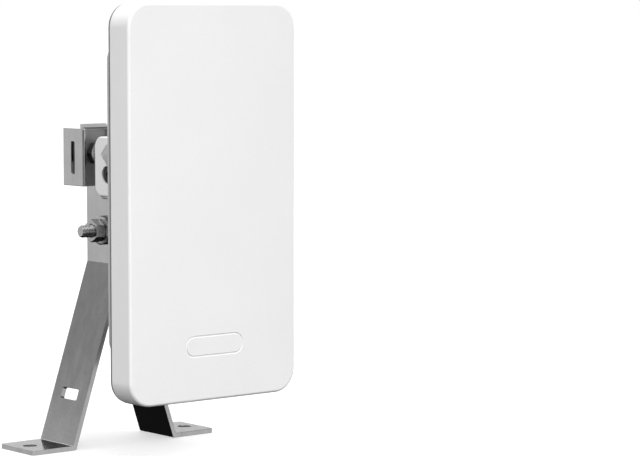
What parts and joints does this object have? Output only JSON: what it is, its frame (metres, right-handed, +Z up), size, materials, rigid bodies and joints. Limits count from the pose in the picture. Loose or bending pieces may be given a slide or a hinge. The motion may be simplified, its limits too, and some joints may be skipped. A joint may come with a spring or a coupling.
{
  "type": "outdoor wireless bridge",
  "caption": "Flat rectangular outdoor panel radio on a tilting, swivelling bracket with a slotted pole clamp and two splayed steel legs.",
  "frame": {"origin": "midway between the two foot holes, on the underside of the feet", "axes": "+Z up from the feet along the legs, -Y the way the panel faces, +X along the line of the two foot holes"},
  "size_m": [0.1408, 0.146, 0.2804],
  "materials": {
    "shell_white": "fine satin moulded texture",
    "shell_grey": "fine satin moulded texture",
    "bracket_white": "satin moulded",
    "zinc_steel": "satin bright zinc on rolled sheet",
    "zinc_fastener": "bright zinc, turned",
    "black_fastener": "black oxide",
    "screw_steel": "stainless, turned",
    "brass_screw": "turned brass",
    "rubber_black": "matt",
    "trim_grey": "matt",
    "vent_black": "fine matt",
    "button_black": "satin",
    "label_silver": "satin polyester, blank",
    "board_green": "solder mask over weave",
    "antenna_laminate": "glass laminate",
    "copper_patch": "etched foil",
    "reflector_aluminium": "rolled sheet",
    "tin_shield": "tinned",
    "gold_contact": "gold flash",
    "nylon_white": "natural nylon",
    "light_pipe": "clear moulded"
  },
  "bodies": {
    "stand": {"left_leg": "zinc_steel", "right_leg": "zinc_steel", "leg_bolt": "zinc_fastener", "leg_nut": "zinc_fastener", "leg_washers": "zinc_fastener", "clamp_channel": "zinc_steel", "swivel_bolt": "zinc_fastener", "swivel_nuts": "black_fastener", "swivel_washers": "zinc_fastener", "swivel_spring_washer": "black_fastener"},
    "fork": {"knuckle": "bracket_white", "pivot_bolt": "zinc_fastener", "pivot_nut": "zinc_fastener", "pivot_washer": "zinc_fastener", "friction_washers": "nylon_white", "clamp_screw": "black_fastener", "clamp_nut": "zinc_fastener"},
    "panel": {"front_cover": "shell_white", "rear_cover": "shell_grey", "cover_gasket": "rubber_black", "seam_trim": "trim_grey", "cover_screws": "screw_steel", "ground_screw": "brass_screw", "ground_washer": "screw_steel", "vent_plug": "vent_black", "label_plate": "label_silver", "main_board": "board_green", "board_spacers": "nylon_white", "board_screws": "screw_steel", "shield_cans": "tin_shield", "ethernet_jacks": "tin_shield", "jack_contacts": "gold_contact", "port_seals": "rubber_black", "reset_switch": "vent_black", "light_pipes": "light_pipe", "antenna_reflector": "reflector_aluminium", "antenna_board": "antenna_laminate", "antenna_patches": "copper_patch", "antenna_spacers": "nylon_white", "tilt_arm": "bracket_white", "pivot_bush": "brass_screw", "arm_screws": "screw_steel"},
    "reset": {"reset_button": "button_black"}
  },
  "joints": [
    {"name": "swivel", "type": "hinge", "parent": "stand", "child": "fork", "pos_m": [0, 0, 0.185], "axis": [0, 1, 0], "range_deg": [-90, 90]},
    {"name": "tilt", "type": "hinge", "parent": "fork", "child": "panel", "pos_m": [0, -0.0155, 0.185], "axis": [1, 0, 0], "range_deg": [-45, 24]},
    {"name": "reset_press", "type": "slide", "parent": "panel", "child": "reset", "axis": [0, 0, 1], "range_m": [0, 0.0008], "stiffness_N_per_m": 400, "springref_m": -0.0006}
  ]
}
